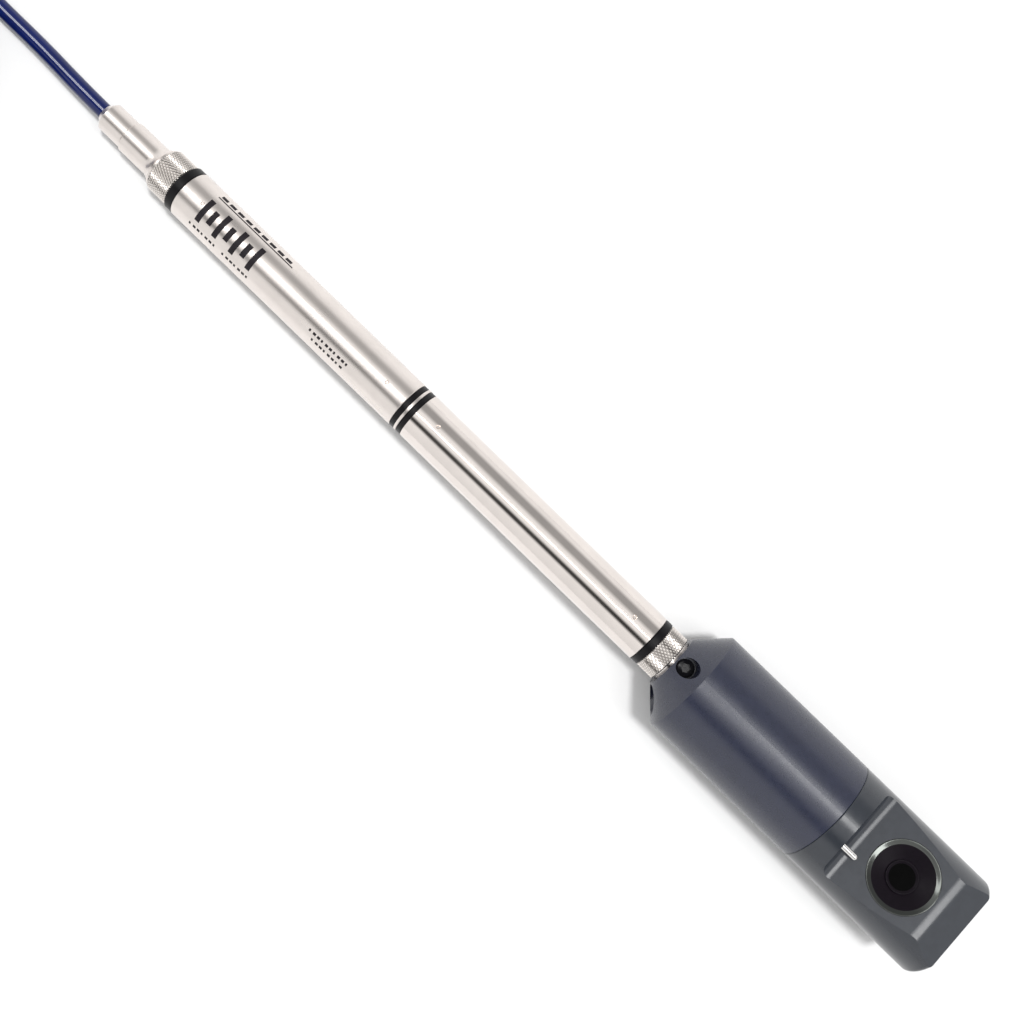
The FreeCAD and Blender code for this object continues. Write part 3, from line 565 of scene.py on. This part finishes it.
def add_window_rim(material):
    """The window's polished rim: a rounded outer edge, then a shallow slope down to the opening."""
    top, low, under, outer = 0.28, -0.16, -0.6, RIM_RADIUS
    crest, steps = outer - 0.25, 8
    slope = []
    for step in range(steps + 1):
        share = step / steps
        ease = share - 0.1 * math.sin(2 * math.pi * share) / (2 * math.pi)
        slope.append((top + (low - top) * ease, crest - (crest - WINDOW_RADIUS) * share))
    edge = [(0.1, outer), (0.22, outer - 0.05), (0.27, outer - 0.14)]
    section = [(under, WINDOW_RADIUS), (under, outer)] + edge
    points, faces = lathe(WINDOW, section + slope, 128, lambda row, step, radius: radius)
    rim = closed_mesh("window_rim", points, faces, material)
    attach(rim, "nose")
    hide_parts("window_bezel")


def add_window_liner(material):
    """The black lining of the shallow funnel, from the rim's inner edge down to the foil's ring."""
    start, end = (0.2, WINDOW_RADIUS - 0.01), (WINDOW_DEPTH - 0.05, FLOOR_RADIUS + 0.02)
    section = [(-start[0], start[1]), (-0.58, start[1]), (-WINDOW_DEPTH, end[1]), (-end[0], end[1])]
    points, faces = lathe(WINDOW, section, 96, lambda row, step, radius: radius)
    liner = closed_mesh("window_liner", points, faces, material, sharp=20.0)
    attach(liner, "nose")


def curved_bar(points, faces, start, end, low, high):
    """Adds one printed bar: a thin patch on the tube between two stations and two angles from its top."""
    under, over, part = TUBE_RADIUS - 0.05, TUBE_RADIUS + 0.03, 3
    parts = max(1, round((high - low) / part))
    first = len(points)
    for k in range(parts + 1):
        angle = math.radians(low + (high - low) * k / parts)
        for along, radius in ((start, under), (end, under), (end, over), (start, over)):
            points.append(PROBE @ (Vector((along, radius * math.sin(angle), radius * math.cos(angle))) * MM))
    for k in range(parts):
        here = first + 4 * k
        for side in range(4):
            after = (side + 1) % 4
            faces.append((here + side, here + after, here + 4 + after, here + 4 + side))
    last = first + 4 * parts
    faces.append((first, first + 1, first + 2, first + 3))
    faces.append((last, last + 1, last + 2, last + 3))


def add_printing(material):
    """Plain printed bars and dashes on the upper tube, which stand where such a probe is marked."""
    points, faces = [], []
    bar_middle, bar_pitch = -3.5, 4.2
    for k in range(7):
        half = 30 if k % 2 == 0 else 17
        along = bar_pitch * k
        curved_bar(points, faces, -154.6 + along, -152.4 + along, bar_middle - half, bar_middle + half)
    curved_bar(points, faces, -154, -117, 41.5, 44.5)
    for k in range(9):
        curved_bar(points, faces, -153.4 + 4.0 * k, -150.6 + 4.0 * k, 48, 57)
    small_pitch, small_half = 2.0, 3.2
    small_rows = ((-156, 7, -50), (-139.5, 7, -50), (-97, 10, -31), (-94.5, 8, -47))
    for first, count, middle in small_rows:
        for k in range(count):
            start = first + small_pitch * k
            length = 1.3 if k % 3 else 0.8
            curved_bar(points, faces, start, start + length, middle - small_half, middle + small_half)
    marks = closed_mesh("printed_bars", points, faces, material)
    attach(marks, "probe")


# the plug's own directions: its X axis runs from the cable's end to the cap
RING_STATION = 28
PLUG = (
    Matrix.Translation(Vector(JOINTS["plug_ring_turn"]["pos_m"]) + Vector((0, RING_STATION * MM, 0)))
    @ Matrix.Rotation(-math.pi / 2, 4, "Z")
)
RIB_STEPS = 6


def add_plug_piece(name, node, body, material, section, ribs, rib_depth, first, last):
    """A turned piece of the plug whose rows from first to last have shallow grooves along them."""
    segments = ribs * RIB_STEPS

    def reach(row, step, radius):
        if not first <= row <= last:
            return radius
        return radius - rib_depth * (0.5 + 0.5 * math.cos(2 * math.pi * step / RIB_STEPS)) ** 2

    points, faces = lathe(PLUG, section, segments, reach)
    piece = closed_mesh(name, points, faces, material, sharp=40.0)
    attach(piece, body)
    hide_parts(node)
    return piece


def add_plug_pieces(plastic, rubber):
    """The plug's ribbed gland nut and the ribbed dust cap."""
    nut = add_plug_piece(
        "plug_gland_nut_ribbed", "plug_gland_nut", "probe", plastic,
        [(0, 3.15), (0, 4.4), (0.2, 4.6), (1.5, 6.2), (2.0, 6.4), (11.4, 6.4), (12, 6.0), (12, 3.15)],
        16, 0.45, 4, 5,
    )
    cap = add_plug_piece(
        "dust_cap_ribbed", "dust_cap", "dust_cap", rubber,
        [(34.3, 7.5), (34.3, 9.9), (34.8, 10.4), (37.0, 10.4), (37.6, 10.2), (48.6, 10.2), (49.2, 10.4),
         (50.5, 10.4), (51.3, 10.1), (51.8, 9.6), (52, 8.9), (52, 0), (46.3, 0), (46.3, 7.5)],
        30, 0.5, 4, 5,
    )
    return [nut, cap]


def add_straps(material):
    """Three hook-and-loop straps round the coil's section, each end laid over its own start."""
    thick, wide, gap = 1.2, 10.0, 0.12
    low, high = FIRST_LAYER, FIRST_LAYER + (LAYERS - 1) * 2 * CABLE_RADIUS
    span = (COLUMNS - 1) * CABLE_RADIUS
    bend = CABLE_RADIUS + gap + thick / 2
    inner, outer = COIL_MIDDLE - span, COIL_MIDDLE + span
    corners = ((outer, high), (inner, high), (inner, low), (outer, low))
    loop = []
    for quarter, (radius, height) in enumerate(corners):
        for step in range(7):
            angle = math.pi / 2 * (quarter + step / 6)
            loop.append((radius, height, math.cos(angle), math.sin(angle)))
    edge = 0.35
    outline = [
        (-wide / 2, -thick / 2 + edge), (-wide / 2 + edge, -thick / 2), (wide / 2 - edge, -thick / 2),
        (wide / 2, -thick / 2 + edge), (wide / 2, thick / 2 - edge), (wide / 2 - edge, thick / 2),
        (-wide / 2 + edge, thick / 2), (-wide / 2, thick / 2 - edge),
    ]
    points, faces = [], []

    def sweep(path, lift, tie, closed):
        first, count = len(points), len(outline)
        for radius, height, out, up in path:
            for side, deep in outline:
                reach = radius + out * (bend + lift + deep)
                angle = tie + side / reach
                points.append(Vector((
                    COIL_CENTRE[0] + reach * math.cos(angle), COIL_CENTRE[1] + reach * math.sin(angle),
                    height + up * (bend + lift + deep),
                )) * MM)
        for k in range(len(path) if closed else len(path) - 1):
            here, there = first + k * count, first + (k + 1) % len(path) * count
            for side in range(count):
                after = (side + 1) % count
                faces.append((here + side, here + after, there + after, there + side))
        if not closed:
            faces.append(tuple(range(first, first + count)))
            faces.append(tuple(range(len(points) - count, len(points))))

    for degrees in (20, 140, 260):
        sweep(loop, 0.0, math.radians(degrees), True)
        sweep(loop[3:11], thick + 0.04, math.radians(degrees), False)
    straps = closed_mesh("hook_and_loop_straps", points, faces, material)
    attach(straps, "probe")
    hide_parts("coil_ties")
    return straps


add_camera()
add_floor()
add_studio()
add_light("tube_lamp", TUBE_LAMP_PLACE, (3.3, 0.24), 10.0)
add_light("head_lamp", HEAD_LAMP_PLACE, (0.95, 0.34), 7.0)
add_sun("shadow_sun", SUN_WAY, 2.4, 7)
cable = add_cable(MATERIALS["jacket"])
add_gloss_lamp(cable)
straps = add_straps(MATERIALS["strap"])
plug_ring = add_knurled_ring(
    "plug_ring_knurled", PLUG, 22.15, 34, 7.65, 10.1, 0.6, "plug_ring", MATERIALS["plug_metal"],
)
plug_pieces = add_plug_pieces(MATERIALS["plug_plastic"], MATERIALS["cap_rubber"])
add_knurled_ring(
    "rear_collar_knurled", PROBE, -178.2, -168.75, COLLAR_BORE, REAR_CREST, 0.5, "rear_nut",
    MATERIALS["rear_knurl"],
)
add_knurled_ring(
    "front_collar_knurled", PROBE, 69.2, 76.5, COLLAR_BORE, FRONT_CREST, 0.4, "front_nut",
    MATERIALS["front_knurl"],
)
add_screws(MATERIALS["black_screw"])
add_window_rim(MATERIALS["rim_metal"])
add_window_liner(MATERIALS["window_black"])
add_printing(MATERIALS["ink"])
dress_nodes()
bpy.context.scene.view_settings.view_transform = "Standard"
